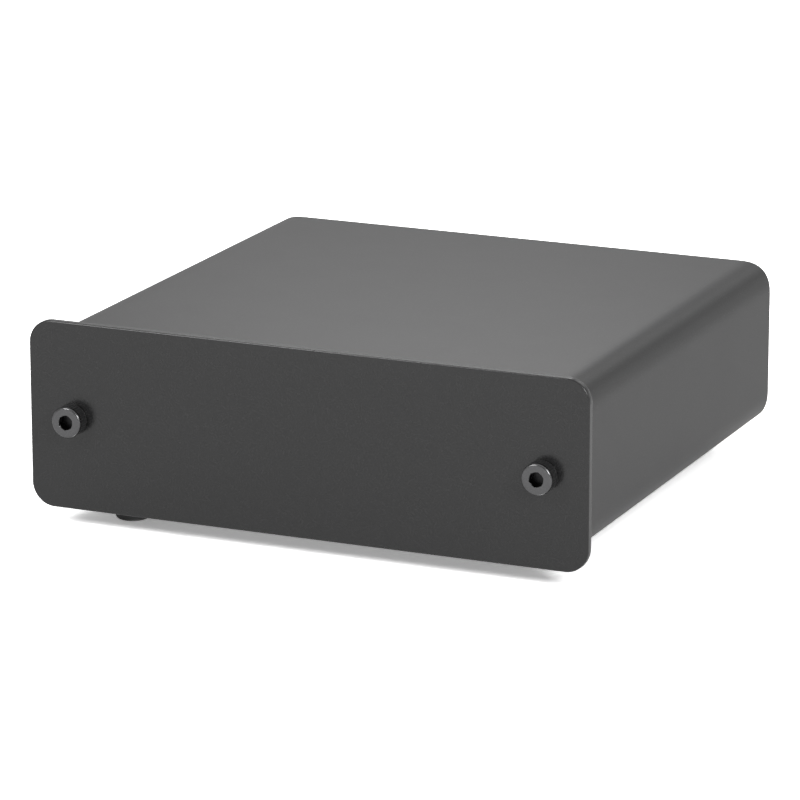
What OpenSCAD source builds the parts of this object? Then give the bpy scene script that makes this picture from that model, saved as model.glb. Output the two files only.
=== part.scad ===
// Small phono preamp: a flat aluminium sleeve on rubber feet, closed by a front panel and a rear
// panel, with a circuit board, phono sockets, a power inlet and a ground terminal.
// Millimetres. +X is to the right, +Y to the rear, +Z up. The origin is on the surface that the
// feet stand on, under the middle of the whole object.

/* [Case] */
// Width of the sleeve
case_w = 102.5; // [100:0.5:125]
// Height of the sleeve
case_h = 30.8; // [29:0.2:45]
// Depth of the sleeve, front to back
case_d = 97; // [92:0.5:140]
// Thickness of the sleeve's walls
case_wall = 1.5; // [1.2:0.1:2]
// Outer corner radius of the sleeve
case_r = 4.8; // [4:0.2:6]
// Radius of the round port that takes the panel screws, on each side of the sleeve
port_r = 3; // [2.6:0.1:3.4]
// Distance from the sleeve's inner side to the axis of its port
port_in = 4.75; // [4:0.05:5]
// Thickness of the web that carries a port
port_web = 1.4; // [1:0.1:2]
// How far the board guides stand in from the sleeve's sides
guide_in = 1.6; // [1:0.1:2.4]
// Thickness of a board guide
guide_t = 1; // [0.6:0.1:1.4]

/* [Front panel] */
// Thickness of the front panel
panel_t = 1.5; // [1:0.1:3]
// Overhang of the front panel past each side of the sleeve
panel_side = 2.25; // [1:0.05:4]
// Overhang of the front panel past the sleeve's top and bottom
panel_rise = 1.8; // [1:0.05:2.4]
// Corner radius of the front panel
panel_r = 4.3; // [2:0.1:6]

/* [Rear panel] */
// Thickness of the rear panel
rear_t = 1.5; // [1:0.1:2]
// Clearance between the rear panel's edge and the sleeve
rear_gap = 0.15; // [0.05:0.05:0.4]

/* [Screws] */
// How far the panel screws' axes lie below the sleeve's middle
screw_drop = 0.4; // [0:0.1:1]
// Radius of the panel screws' shanks
screw_r = 1.5; // [1.2:0.05:1.75]
// Clearance between a screw and its tapped port
thread_gap = 0.02; // [0.01:0.01:0.05]
// Clearance between a screw and its hole in a panel
screw_gap = 0.15; // [0.1:0.05:0.4]
// Radius of a front screw's head
front_head_r = 2.85; // [2.5:0.05:3.4]
// Height of a front screw's head
front_head_h = 3; // [2:0.1:4]
// Rounding of a front screw's head at its rim
front_head_round = 0.45; // [0.2:0.05:0.6]
// Hexagon socket of a front screw, across its flats
hex_flats = 2.5; // [1.5:0.1:3]
// Depth of a front screw's hexagon socket
hex_deep = 1.6; // [1:0.1:2]
// Length of a front screw under its head
front_screw_len = 12; // [8:0.5:16]
// Radius of a rear screw's head
rear_head_r = 2.75; // [2.5:0.05:3.4]
// Height of a rear screw's head
rear_head_h = 1.7; // [1.4:0.1:2.6]
// Hexagon socket of a rear screw, across its flats
rear_hex_flats = 2; // [1.5:0.1:2.5]
// Depth of a rear screw's hexagon socket
rear_hex_deep = 0.9; // [0.6:0.1:1.2]
// Length of a rear screw under its head
rear_screw_len = 8; // [6:0.5:12]

/* [Feet] */
// Height of a foot
foot_h = 5.4; // [3:0.2:12]
// Radius of a foot where it is stuck to the sleeve
foot_top_r = 4.6; // [3.6:0.1:8]
// Radius of a foot's underside
foot_r = 3; // [2:0.1:3.4]
// Distance from the sleeve's side to a foot's axis
foot_side = 12.55; // [9:0.05:20]
// Distance from the sleeve's end to a foot's axis
foot_end = 9; // [8.5:0.5:20]
// How much further back the front right foot stands
foot_set_back = 7.5; // [0:0.5:15]

/* [Board] */
// Thickness of the circuit board
board_t = 1.6; // [1:0.1:2]
// Clearance between the board's edge and the sleeve's side
board_side_gap = 0.25; // [0.1:0.05:0.6]
// Clearance above the board in its guides
board_slot_gap = 0.2; // [0.1:0.05:0.4]
// Distance from the front panel to the board
board_front_gap = 4; // [1:0.5:5]
// Distance from the rear panel to the board
board_rear_gap = 0.5; // [0.2:0.1:1]

/* [Phono sockets] */
// Outer radius of a socket's shell, which a plug slides over
shell_r = 4.15; // [4:0.05:4.3]
// Wall of a socket's shell
shell_wall = 0.6; // [0.4:0.05:0.8]
// How much a shell's root stands out past it, in the rear panel and the housing
shell_step = 0.45; // [0.3:0.05:0.6]
// How far the shells stand out behind the sleeve
shell_out = 8.5; // [8:0.5:12]
// How deep a shell sits in its housing
shell_seat = 5; // [3:0.5:8]
// Clearance of a shell's root in its housing, its ring and the rear panel
shell_gap = 0.05; // [0.02:0.01:0.15]
// Radius of the hole in a socket's contact
contact_r = 1.6; // [1.55:0.01:1.65]
// Wall of a socket's contact
contact_wall = 0.35; // [0.2:0.05:0.5]
// Clearance of a contact and of an insulator in what holds them
insulator_gap = 0.03; // [0.01:0.01:0.1]
// How far a socket's insulator stops short of its shell
insulator_back = 0.4; // [0.2:0.1:1]
// Width of the coloured ring around a shell's root
ring_wall = 1.25; // [0.8:0.05:1.4]
// Thickness of the coloured ring
ring_t = 1; // [0.6:0.1:1.5]
// Distance between the two sockets of a pair
socket_pitch = 14; // [13:0.5:15]
// Height of the sockets' axes above the board
socket_axis_h = 8.2; // [7:0.1:10]
// Distance from a socket's axis to its housing's side
housing_side = 6.5; // [5.5:0.1:6.8]
// Height of a socket housing above the sockets' axes
housing_top = 6; // [5.5:0.1:8]
// Depth of a socket housing
housing_d = 12; // [10:0.5:14]

/* [Power inlet] */
// Height of the inlet's axis above the board
inlet_axis_h = 6.5; // [5.5:0.1:8]
// Width of the inlet's body
inlet_w = 9; // [8.5:0.1:9.5]
// Depth of the inlet's body
inlet_d = 14; // [13:0.5:16]
// Radius of the inlet's round nose
inlet_nose_r = 3.7; // [3.4:0.1:4]
// Radius of the inlet's socket
inlet_hole_r = 2.9; // [2.8:0.05:3.1]
// Depth of the inlet's socket
inlet_hole_deep = 9.5; // [9:0.5:11]
// Radius of the inlet's centre pin
inlet_pin_r = 1.05; // [0.95:0.05:1.25]
// How far the centre pin stops short of the inlet's mouth
inlet_pin_back = 0.8; // [0.4:0.1:2]
// How deep the centre pin sits in the inlet's body
inlet_pin_seat = 2; // [1:0.1:2.4]
// Width of the inlet's contact spring
inlet_spring_w = 2; // [1.5:0.1:2.5]
// Length of the inlet's contact spring
inlet_spring_l = 6; // [4:0.5:8]
// Thickness of the inlet's contact spring
inlet_spring_t = 0.4; // [0.3:0.05:0.5]
// Depth of the contact spring's groove under the socket
inlet_spring_drop = 0.7; // [0.6:0.05:0.8]
// Radius of the bump on the contact spring
inlet_spring_bump = 0.4; // [0.3:0.05:0.45]

/* [Ground terminal] */
// Radius of the ground stud
stud_r = 2; // [1.75:0.05:2.5]
// Running clearance of a nut on the stud
stud_gap = 0.05; // [0.02:0.01:0.1]
// How far the stud stands out behind the sleeve
stud_out = 8.1; // [8:0.1:9]
// Radius of the stud's head
stud_head_r = 3.6; // [3.2:0.1:4]
// Height of the stud's head
stud_head_h = 2.4; // [1.6:0.1:3]
// Radius of the soldering lug's ring
lug_r = 3.9; // [3.6:0.1:4.2]
// Thickness of the soldering lug
lug_t = 0.5; // [0.3:0.1:0.8]
// Width of the fixed nut, across its flats
hex_nut_flats = 7; // [6.5:0.1:8]
// Thickness of the fixed nut
hex_nut_t = 2.2; // [1.8:0.1:3]
// Radius of the clamping washer
washer_r = 4.5; // [4:0.1:5]
// Thickness of the clamping washer
washer_t = 0.8; // [0.5:0.1:1.2]
// Clearance around the clamping washer on the thumb nut's neck
washer_gap = 0.06; // [0.03:0.01:0.1]
// Radius of the thumb nut
thumb_r = 4.75; // [4.4:0.05:5.2]
// Thickness of the thumb nut's knurled part
thumb_t = 3.4; // [3:0.1:5]
// Wall of the thumb nut's neck, which carries the washer
neck_wall = 0.65; // [0.5:0.05:0.8]
// Wall of the swaged lip that holds the washer on the neck
lip_wall = 1.3; // [1.1:0.05:1.5]
// Thickness of the swaged lip
lip_t = 0.4; // [0.3:0.05:0.6]
// Number of grooves in the thumb nut's knurling
knurl_count = 24; // [16:2:32]
// Radius of a knurling groove
knurl_r = 0.3; // [0.2:0.05:0.35]

/* [Gain switches] */
// Place of the gain switches, to each side of the middle
switch_x = 14; // [10:0.5:18]
// Distance of the gain switches in front of the rear panel
switch_back = 42; // [35:1:50]
// Width of a switch's body
switch_w = 9; // [8.5:0.5:11]
// Depth of a switch's body
switch_d = 4; // [3.6:0.1:5]
// Height of a switch's body under the board
switch_h = 3.8; // [3.4:0.1:5]
// Clearance between a switch's body and the sleeve's floor
switch_gap = 0.3; // [0.2:0.05:0.6]
// Wall of a switch's body
switch_wall = 0.6; // [0.5:0.05:0.8]
// Travel of a switch's slider
switch_travel = 2; // [1.5:0.1:2.5]
// Width of a slider's finger piece
slider_w = 2; // [1.6:0.1:2.4]
// Depth of a slider's finger piece
slider_d = 1.6; // [1.2:0.1:1.8]
// Clearance around a slider
slider_gap = 0.25; // [0.15:0.05:0.4]
// How far a slider's end is sunk under the sleeve's outer face
slider_sunk = 0.3; // [0:0.1:0.8]
// Width of a slider's inner plate
slider_plate_w = 4.4; // [4:0.1:4.6]
// Thickness of a slider's inner plate
slider_plate_t = 0.8; // [0.6:0.1:1]

/* [Board parts] */
// Clearance between neighbours on the board
part_gap = 3; // [1:0.5:3.5]
// Radius of a smoothing capacitor
big_can_r = 5; // [4:0.5:5]
// Height of a smoothing capacitor
big_can_h = 16; // [12:0.5:18]
// Radius of a coupling capacitor
small_can_r = 3.15; // [2.5:0.05:4]
// Height of a coupling capacitor
small_can_h = 11; // [7:0.5:14]
// Width of a film capacitor
film_w = 10; // [7:0.5:10]
// Depth of a film capacitor
film_d = 4; // [3:0.5:5]
// Height of a film capacitor
film_h = 9; // [7:0.5:12]
// Radius of a transistor
transistor_r = 2.4; // [2:0.1:2.6]
// Height of a transistor's body
transistor_h = 4.6; // [4:0.1:5]
// Height of a transistor's body above the board
transistor_lift = 2.2; // [1:0.1:4]
// Distance between the legs of a transistor
transistor_pitch = 1.27; // [1:0.01:1.4]
// Width of an amplifier's body
chip_w = 6.4; // [6:0.1:6.8]
// Length of an amplifier's body
chip_l = 9.4; // [9:0.1:10]
// Height of an amplifier's body
chip_h = 3.3; // [3:0.1:4]
// Height of an amplifier's body above the board
chip_lift = 0.6; // [0.4:0.1:1]
// Distance between an amplifier's two rows of legs
chip_row = 7.62; // [7.4:0.01:8]
// Distance between the legs in a row
chip_pitch = 2.54; // [2.4:0.01:2.54]
// Thickness of an amplifier's legs
chip_leg = 0.3; // [0.2:0.05:0.4]
// Width of a regulator
regulator_w = 10; // [9:0.1:10.4]
// Depth of a regulator's body
regulator_d = 4.4; // [4:0.1:4.8]
// Height of a regulator's body
regulator_h = 8.8; // [8:0.1:9.4]
// Height of a regulator with its metal tab
regulator_tab_h = 15; // [13:0.5:16]
// Thickness of a regulator's tab
regulator_tab_t = 1.3; // [1:0.1:1.5]
// Radius of the hole in a regulator's tab
regulator_hole_r = 1.8; // [1.5:0.1:2]
// Height of a regulator's body above the board
regulator_lift = 3; // [1.5:0.1:3]
// Distance between the legs of a regulator
regulator_pitch = 2.54; // [2.4:0.01:2.6]
// Distance from a wired part's middle to the bend of its wire
wired_reach = 4.8; // [4:0.1:5]
// Radius of a wired part's wire
wired_r = 0.3; // [0.2:0.05:0.4]
// Radius of a resistor
resistor_r = 1.15; // [0.9:0.05:1.5]
// Length of a resistor
resistor_l = 6; // [5:0.1:7]
// Radius of a diode
diode_r = 1.35; // [1.1:0.05:1.6]
// Length of a diode
diode_l = 5; // [4:0.1:6]

/* [Hidden] */
$fn = 72;

// A cut reaches this far past the face that it opens
cut = 1;
// Shapes of one solid reach this far into each other
weld = 0.1;

// Depths, from the front screws' faces to the sockets' ends
whole_d = front_head_h + panel_t + case_d + max(shell_out, stud_out);
panel_front_y = -whole_d / 2 + front_head_h;
case_front_y = panel_front_y + panel_t;
case_rear_y = case_front_y + case_d;
rear_inner_y = case_rear_y - rear_t;
shell_end_y = case_rear_y + shell_out;
shell_start_y = rear_inner_y - shell_seat;

// Heights
case_mid_z = foot_h + case_h / 2;
port_z = case_mid_z - screw_drop;
floor_z = foot_h + case_wall;
board_z = floor_z + switch_gap + switch_h;
board_top = board_z + board_t;
socket_z = board_top + socket_axis_h;
inlet_z = board_top + inlet_axis_h;

// Widths
inner_x = case_w / 2 - case_wall;
port_x = inner_x - port_in;
board_w = 2 * (inner_x - board_side_gap);
board_front_y = case_front_y + board_front_gap;
board_rear_y = rear_inner_y - board_rear_gap;

// The rear fittings stand between the two ports, with even gaps
free_w = 2 * (port_x - port_r);
housing_w = socket_pitch + 2 * housing_side;
rear_gap_w = (free_w - 2 * housing_w - 2 * thumb_r - inlet_w) / 5;
input_x = free_w / 2 - rear_gap_w - housing_w / 2;
ground_x = input_x - housing_w / 2 - rear_gap_w - thumb_r;
output_x = ground_x - thumb_r - rear_gap_w - housing_w / 2;
inlet_x = output_x - housing_w / 2 - rear_gap_w - inlet_w / 2;

// Sphere of a rear screw's domed head
rear_dome_r = 1.4 * rear_head_r;

// Socket parts
shell_root_r = shell_r + shell_step;
shell_inner_r = shell_r - shell_wall;
contact_outer_r = contact_r + contact_wall;
insulator_end_y = shell_end_y - insulator_back;
contact_recess = 0.4;
contact_start = 1.5;
left_input_x = input_x + socket_pitch / 2;
right_input_x = input_x - socket_pitch / 2;
left_output_x = output_x + socket_pitch / 2;
right_output_x = output_x - socket_pitch / 2;
socket_xs = [left_input_x, right_input_x, left_output_x, right_output_x];

// Power inlet parts
inlet_hole_y = case_rear_y - inlet_hole_deep;
inlet_spring_y = inlet_hole_y + inlet_spring_l / 2;
inlet_spring_z = inlet_z - inlet_hole_r - inlet_spring_drop;

// Ground terminal, from the rear panel's face outwards
hex_nut_end_y = case_rear_y + hex_nut_t;
lip_end_y = hex_nut_end_y + lip_t;
washer_play = 0.1;
neck_end_y = lip_end_y + washer_t + washer_play;
thumb_end_y = neck_end_y + thumb_t;
thumb_edge = 0.4;
nut_bore_r = stud_r + stud_gap;
neck_r = nut_bore_r + neck_wall;
lug_tail_w = 3;
lug_lift = 1.2;
lug_tail_end_z = board_top + lug_lift;
wire_r = 0.6;
wire_bend_r = 1.6;
wire_lift = 1.2;
wire_z = lug_tail_end_z + wire_lift;
wire_run = 1.2;

// Gain switches, from the board down
switch_y = rear_inner_y - switch_back;
slider_plate_z = board_z - switch_wall - slider_plate_t - slider_gap;
switch_low_z = board_z - switch_h;
slider_end_z = foot_h + slider_sunk;

// The board's parts stand in lanes between the ports and in rows in front of the rear fittings
lanes = 7;
function lane(k) = (k - (lanes - 1) / 2) * free_w / lanes;
big_can_rows = [for (k = [0, 1]) inlet_d + part_gap + big_can_r + k * (2 * big_can_r + part_gap)];
regulator_row = big_can_rows[1] + big_can_r + part_gap + regulator_d / 2;
diode_rows = [for (k = [0, 1])
    regulator_row + regulator_d / 2 + part_gap + diode_r + k * (2 * diode_r + part_gap)];
small_can_rows = [for (k = [0, 1])
    housing_d + part_gap + small_can_r + k * (2 * small_can_r + part_gap)];
film_rows = [for (k = [0, 1, 2]) housing_d + part_gap + film_d / 2 + k * (film_d + part_gap)];
transistor_row = film_rows[2] + film_d / 2 + part_gap + transistor_r;
chip_row_back = transistor_row + transistor_r + part_gap + chip_l / 2;
resistor_rows = [for (k = [0 : 3])
    chip_row_back + chip_l / 2 + part_gap + resistor_r + k * (2 * resistor_r + part_gap)];

// Rounded rectangle about the origin
module rounded_rect(w, h, r) {
    square([w - 2 * r, h], center = true);
    square([w, h - 2 * r], center = true);
    for (sx = [-1, 1], sy = [-1, 1])
        translate([sx * (w / 2 - r), sy * (h / 2 - r)]) circle(r);
}

// A flat shape in X and Z, drawn out along Y
module out_along_y(from_y, to_y)
    translate([0, to_y, 0]) rotate([90, 0, 0]) linear_extrude(to_y - from_y) children();

// A round bar along Y
module bar_y(r, from_y, to_y, x = 0, z = 0)
    translate([x, to_y, z]) rotate([90, 0, 0]) cylinder(r = r, h = to_y - from_y);

// A hexagonal bar along Y, measured across its flats
module hex_bar_y(flats, from_y, to_y, x = 0, z = 0)
    translate([x, to_y, z]) rotate([90, 0, 0])
        cylinder(r = flats / 2 / cos(30), h = to_y - from_y, $fn = 6);

// A box given by its centre in X and Y, its underside and its size
module block(x, y, z, w, d, h) translate([x - w / 2, y - d / 2, z]) cube([w, d, h]);

// A place on the board, at a distance in front of the rear panel
module on_board(x, back) translate([x, rear_inner_y - back, board_top]) children();

module front_panel() color([0.24, 0.24, 0.25]) difference() {
    out_along_y(panel_front_y, case_front_y) translate([0, case_mid_z])
        rounded_rect(case_w + 2 * panel_side, case_h + 2 * panel_rise, panel_r);
    for (side = [-1, 1])
        bar_y(screw_r + screw_gap, panel_front_y - cut, case_front_y + cut,
              side * port_x, port_z);
}

// Board guides and screw ports stop where the rear panel seats
module sleeve_inside() {
    for (side = [-1, 1]) {
        bar_y(port_r, case_front_y, rear_inner_y, side * port_x, port_z);
        out_along_y(case_front_y, rear_inner_y) {
            translate([side * (port_x + inner_x + case_wall / 2) / 2, port_z])
                square([inner_x + case_wall / 2 - port_x, port_web], center = true);
            for (z = [board_z - guide_t / 2, board_top + board_slot_gap + guide_t / 2])
                translate([side * (inner_x + (case_wall / 2 - guide_in) / 2), z])
                    square([guide_in + case_wall / 2, guide_t], center = true);
        }
    }
}

module case_sleeve() color([0.3, 0.3, 0.31]) difference() {
    union() {
        out_along_y(case_front_y, case_rear_y) translate([0, case_mid_z]) difference() {
            rounded_rect(case_w, case_h, case_r);
            rounded_rect(case_w - 2 * case_wall, case_h - 2 * case_wall, case_r - case_wall);
        }
        sleeve_inside();
    }
    for (side = [-1, 1]) {
        bar_y(screw_r + thread_gap, case_front_y - cut, rear_inner_y + cut,
              side * port_x, port_z);
        block(side * switch_x, switch_y, foot_h - cut,
              slider_w + switch_travel + 2 * slider_gap, slider_d + 2 * slider_gap,
              case_wall + 2 * cut);
    }
}

module rear_panel() color([0.24, 0.24, 0.25]) difference() {
    out_along_y(rear_inner_y, case_rear_y) translate([0, case_mid_z])
        rounded_rect(2 * (inner_x - rear_gap), case_h - 2 * (case_wall + rear_gap),
                     case_r - case_wall - rear_gap);
    for (side = [-1, 1])
        bar_y(screw_r + screw_gap, rear_inner_y - cut, case_rear_y + cut,
              side * port_x, port_z);
    for (x = socket_xs)
        bar_y(shell_root_r + shell_gap, rear_inner_y - cut, case_rear_y + cut, x, socket_z);
    bar_y(inlet_nose_r + shell_gap, rear_inner_y - cut, case_rear_y + cut, inlet_x, inlet_z);
    bar_y(stud_r + screw_gap, rear_inner_y - cut, case_rear_y + cut, ground_x, socket_z);
}

// Socket cap screw, its head at the front
module front_screw(side) color([0.2, 0.2, 0.21]) translate([side * port_x, 0, port_z])
    difference() {
        translate([0, panel_front_y, 0]) rotate([90, 0, 0]) union() {
            rotate_extrude() {
                square([front_head_r, front_head_h - front_head_round]);
                square([front_head_r - front_head_round, front_head_h]);
                translate([front_head_r - front_head_round, front_head_h - front_head_round])
                    intersection() {
                        circle(front_head_round);
                        square(front_head_round);
                    }
            }
            translate([0, 0, -front_screw_len]) cylinder(r = screw_r, h = front_screw_len + weld);
        }
        hex_bar_y(hex_flats, panel_front_y - front_head_h - cut,
                  panel_front_y - front_head_h + hex_deep);
    }

// Low button-head screws that hold the rear panel
module rear_screws() color([0.2, 0.2, 0.21]) for (side = [-1, 1])
    difference() {
        translate([side * port_x, case_rear_y, port_z]) rotate([-90, 0, 0]) union() {
            rotate_extrude() intersection() {
                square([rear_head_r, rear_head_h]);
                translate([0, rear_head_h - rear_dome_r]) circle(rear_dome_r);
            }
            translate([0, 0, -rear_screw_len]) cylinder(r = screw_r, h = rear_screw_len + weld);
        }
        hex_bar_y(rear_hex_flats, case_rear_y + rear_head_h - rear_hex_deep,
                  case_rear_y + rear_head_h + cut, side * port_x, port_z);
    }

// Moulded rubber foot, stuck under the sleeve
module foot(side, y) color([0.08, 0.08, 0.08])
    translate([side * (case_w / 2 - foot_side), y, 0])
        cylinder(r1 = foot_r, r2 = foot_top_r, h = foot_h);

module front_left_foot() foot(-1, case_front_y + foot_end);
module front_right_foot() foot(1, case_front_y + foot_end + foot_set_back);
module rear_left_foot() foot(-1, case_rear_y - foot_end);
module rear_right_foot() foot(1, case_rear_y - foot_end);

module circuit_board() color([0.1, 0.35, 0.2])
    translate([-board_w / 2, board_front_y, board_z])
        cube([board_w, board_rear_y - board_front_y, board_t]);

// Plated brass shell of a phono socket, with its thicker root
module socket_shell(x) color([0.85, 0.7, 0.35]) difference() {
    union() {
        bar_y(shell_r, shell_start_y, shell_end_y, x, socket_z);
        bar_y(shell_root_r, shell_start_y, case_rear_y + ring_t, x, socket_z);
    }
    bar_y(shell_inner_r, shell_start_y - cut, shell_end_y + cut, x, socket_z);
}

module socket_insulators() color([0.92, 0.9, 0.85]) for (x = socket_xs) difference() {
    bar_y(shell_inner_r - insulator_gap, shell_start_y, insulator_end_y, x, socket_z);
    bar_y(contact_outer_r + insulator_gap, shell_start_y + contact_start,
          insulator_end_y + cut, x, socket_z);
}

module socket_contacts() color([0.85, 0.7, 0.35]) for (x = socket_xs) difference() {
    bar_y(contact_outer_r, shell_start_y + contact_start, insulator_end_y - contact_recess,
          x, socket_z);
    bar_y(contact_r, shell_start_y + contact_start + contact_wall, insulator_end_y, x, socket_z);
}

module channel_rings(xs, shade) color(shade) for (x = xs) difference() {
    bar_y(shell_root_r + shell_gap + ring_wall, case_rear_y, case_rear_y + ring_t, x, socket_z);
    bar_y(shell_root_r + shell_gap, case_rear_y - cut, case_rear_y + ring_t + cut, x, socket_z);
}

// Moulded housing that stands on the board and holds a pair of shells
module socket_housing(x) color([0.12, 0.12, 0.13]) difference() {
    block(x, rear_inner_y - housing_d / 2, board_top, housing_w, housing_d,
          socket_axis_h + housing_top);
    for (side = [-1, 1])
        bar_y(shell_root_r + shell_gap, shell_start_y, rear_inner_y + cut,
              x + side * socket_pitch / 2, socket_z);
}

module power_inlet_body() color([0.1, 0.1, 0.1]) difference() {
    union() {
        block(inlet_x, rear_inner_y - inlet_d / 2, board_top, inlet_w, inlet_d,
              inlet_axis_h + inlet_w / 2);
        bar_y(inlet_nose_r, rear_inner_y - cut, case_rear_y, inlet_x, inlet_z);
    }
    bar_y(inlet_hole_r, inlet_hole_y, case_rear_y + cut, inlet_x, inlet_z);
    bar_y(inlet_pin_r + insulator_gap, inlet_hole_y - inlet_pin_seat, inlet_hole_y + cut,
          inlet_x, inlet_z);
    block(inlet_x, inlet_spring_y, inlet_spring_z, inlet_spring_w + 2 * insulator_gap,
          inlet_spring_l, inlet_hole_r);
}

// Contact spring in a groove under the inlet's socket, with a bump that meets the plug
module power_inlet_spring() color([0.75, 0.75, 0.72]) {
    block(inlet_x, inlet_spring_y, inlet_spring_z, inlet_spring_w, inlet_spring_l,
          inlet_spring_t);
    translate([inlet_x - inlet_spring_w / 2, inlet_spring_y,
               inlet_spring_z + inlet_spring_bump])
        rotate([0, 90, 0]) cylinder(r = inlet_spring_bump, h = inlet_spring_w);
}

module power_inlet_pin() color([0.8, 0.8, 0.78])
    bar_y(inlet_pin_r, inlet_hole_y - inlet_pin_seat, case_rear_y - inlet_pin_back,
          inlet_x, inlet_z);

module ground_stud() color([0.8, 0.68, 0.4]) {
    bar_y(stud_r, rear_inner_y - lug_t - weld, case_rear_y + stud_out, ground_x, socket_z);
    bar_y(stud_head_r, rear_inner_y - lug_t - stud_head_h, rear_inner_y - lug_t,
          ground_x, socket_z);
}

module ground_lug() color([0.8, 0.8, 0.78]) difference() {
    out_along_y(rear_inner_y - lug_t, rear_inner_y) {
        translate([ground_x, socket_z]) circle(lug_r);
        translate([ground_x - lug_tail_w / 2, lug_tail_end_z])
            square([lug_tail_w, socket_z - lug_tail_end_z]);
    }
    bar_y(stud_r + screw_gap, rear_inner_y - lug_t - cut, rear_inner_y + cut,
          ground_x, socket_z);
}

// Stiff link from the lug's tail, bent down onto the board
module ground_wire() color([0.15, 0.5, 0.2]) {
    bend_y = rear_inner_y - lug_t - wire_run;
    bar_y(wire_r, bend_y, rear_inner_y - lug_t, ground_x, wire_z);
    translate([ground_x, bend_y, wire_z - wire_bend_r]) rotate([0, -90, 0])
        rotate_extrude(angle = -90) translate([wire_bend_r, 0]) circle(wire_r);
    translate([ground_x, bend_y - wire_bend_r, board_top])
        cylinder(r = wire_r, h = wire_z - wire_bend_r - board_top);
}

module ground_hex_nut() color([0.8, 0.68, 0.4]) difference() {
    hex_bar_y(hex_nut_flats, case_rear_y, hex_nut_end_y, ground_x, socket_z);
    bar_y(nut_bore_r, case_rear_y - cut, hex_nut_end_y + cut, ground_x, socket_z);
}

module ground_washer() color([0.8, 0.68, 0.4]) difference() {
    bar_y(washer_r, lip_end_y + washer_play / 2, lip_end_y + washer_play / 2 + washer_t,
          ground_x, socket_z);
    bar_y(neck_r + washer_gap, lip_end_y - cut, neck_end_y + cut, ground_x, socket_z);
}

// Knurled nut; the swaged lip at its front keeps the washer on its neck
module ground_thumb_nut() color([0.85, 0.7, 0.35]) difference() {
    translate([ground_x, hex_nut_end_y, socket_z]) rotate([-90, 0, 0]) rotate_extrude()
        polygon([
            [nut_bore_r, 0], [nut_bore_r + lip_wall, 0], [nut_bore_r + lip_wall, lip_t],
            [neck_r, lip_t], [neck_r, neck_end_y - hex_nut_end_y],
            [thumb_r - thumb_edge, neck_end_y - hex_nut_end_y],
            [thumb_r, neck_end_y - hex_nut_end_y + thumb_edge],
            [thumb_r, thumb_end_y - hex_nut_end_y - thumb_edge],
            [thumb_r - thumb_edge, thumb_end_y - hex_nut_end_y],
            [nut_bore_r, thumb_end_y - hex_nut_end_y]
        ]);
    for (k = [0 : knurl_count - 1]) {
        turn = 360 * k / knurl_count;
        bar_y(knurl_r, neck_end_y - cut, thumb_end_y + cut,
              ground_x + thumb_r * cos(turn), socket_z + thumb_r * sin(turn));
    }
}

// Slide switch under the board, open below for its slider
module gain_switch(side) color([0.75, 0.75, 0.74]) difference() {
    block(side * switch_x, switch_y, switch_low_z, switch_w, switch_d, switch_h);
    block(side * switch_x, switch_y, switch_low_z + switch_wall,
          switch_w - 2 * switch_wall, switch_d - 2 * switch_wall, switch_h - 2 * switch_wall);
    block(side * switch_x, switch_y, switch_low_z - cut,
          slider_w + switch_travel + 2 * slider_gap, slider_d + 2 * slider_gap,
          switch_wall + 2 * cut);
}

// Slider at its left end: a plate in the switch and a finger piece in the sleeve's slot
module gain_slider(side) color([0.95, 0.95, 0.93]) {
    x = side * switch_x - switch_travel / 2;
    block(x, switch_y, slider_end_z, slider_w, slider_d, slider_plate_z - slider_end_z + weld);
    block(x, switch_y, slider_plate_z, slider_plate_w,
          switch_d - 2 * switch_wall - 2 * slider_gap, slider_plate_t);
}

// Small signal amplifiers in eight-leg packages
module op_amps() color([0.1, 0.1, 0.1]) for (k = [4, 6]) on_board(lane(k), chip_row_back) {
    knee_z = chip_lift + chip_h / 2;
    block(0, 0, chip_lift, chip_w, chip_l, chip_h);
    for (side = [-1, 1], leg = [-1.5 : 1.5]) translate([0, leg * chip_pitch, 0]) {
        block(side * (chip_w + chip_row) / 4, 0, knee_z, (chip_row - chip_w) / 2 + chip_leg,
              3 * chip_leg, chip_leg);
        block(side * chip_row / 2, 0, 0, chip_leg, 1.5 * chip_leg, knee_z + chip_leg / 2);
    }
}

// Three legs in a line along X
module three_legs(pitch, w, d, h)
    for (leg = [-1, 0, 1]) block(leg * pitch, 0, 0, w, d, h);

// Input transistors, two for each channel, each with one flat side
module transistors() color([0.1, 0.1, 0.1])
    for (k = [3 : 6]) on_board(lane(k), transistor_row) {
        intersection() {
            translate([0, 0, transistor_lift]) cylinder(r = transistor_r, h = transistor_h);
            block(0, -transistor_r * 0.4, transistor_lift, 2 * transistor_r, 2 * transistor_r,
                  transistor_h);
        }
        three_legs(transistor_pitch, transistor_r / 5, transistor_r / 5,
                   transistor_lift + transistor_h / 10);
    }

// Upright regulators for the two supply rails
module voltage_regulators() color([0.12, 0.12, 0.12])
    for (k = [0, 1]) on_board(lane(k), regulator_row) {
        difference() {
            union() {
                block(0, 0, regulator_lift, regulator_w, regulator_d, regulator_h);
                block(0, (regulator_d - regulator_tab_t) / 2, regulator_lift, regulator_w,
                      regulator_tab_t, regulator_tab_h);
            }
            translate([0, 0, regulator_lift + (regulator_h + regulator_tab_h) / 2])
                bar_y(regulator_hole_r, 0, regulator_d);
        }
        three_legs(regulator_pitch, regulator_pitch * 0.3, regulator_pitch * 0.2,
                   regulator_lift + regulator_h / 10);
    }

// Upright can with the crimp that holds its rubber seal
module can_capacitor(r, h) {
    edge = 0.5;
    crimp_z = 2;
    rotate_extrude() polygon([
        [0, 0], [r - edge, 0], [r, edge], [r, crimp_z - edge], [r - edge, crimp_z],
        [r, crimp_z + edge], [r, h - edge], [r - edge, h], [0, h]
    ]);
}

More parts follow.
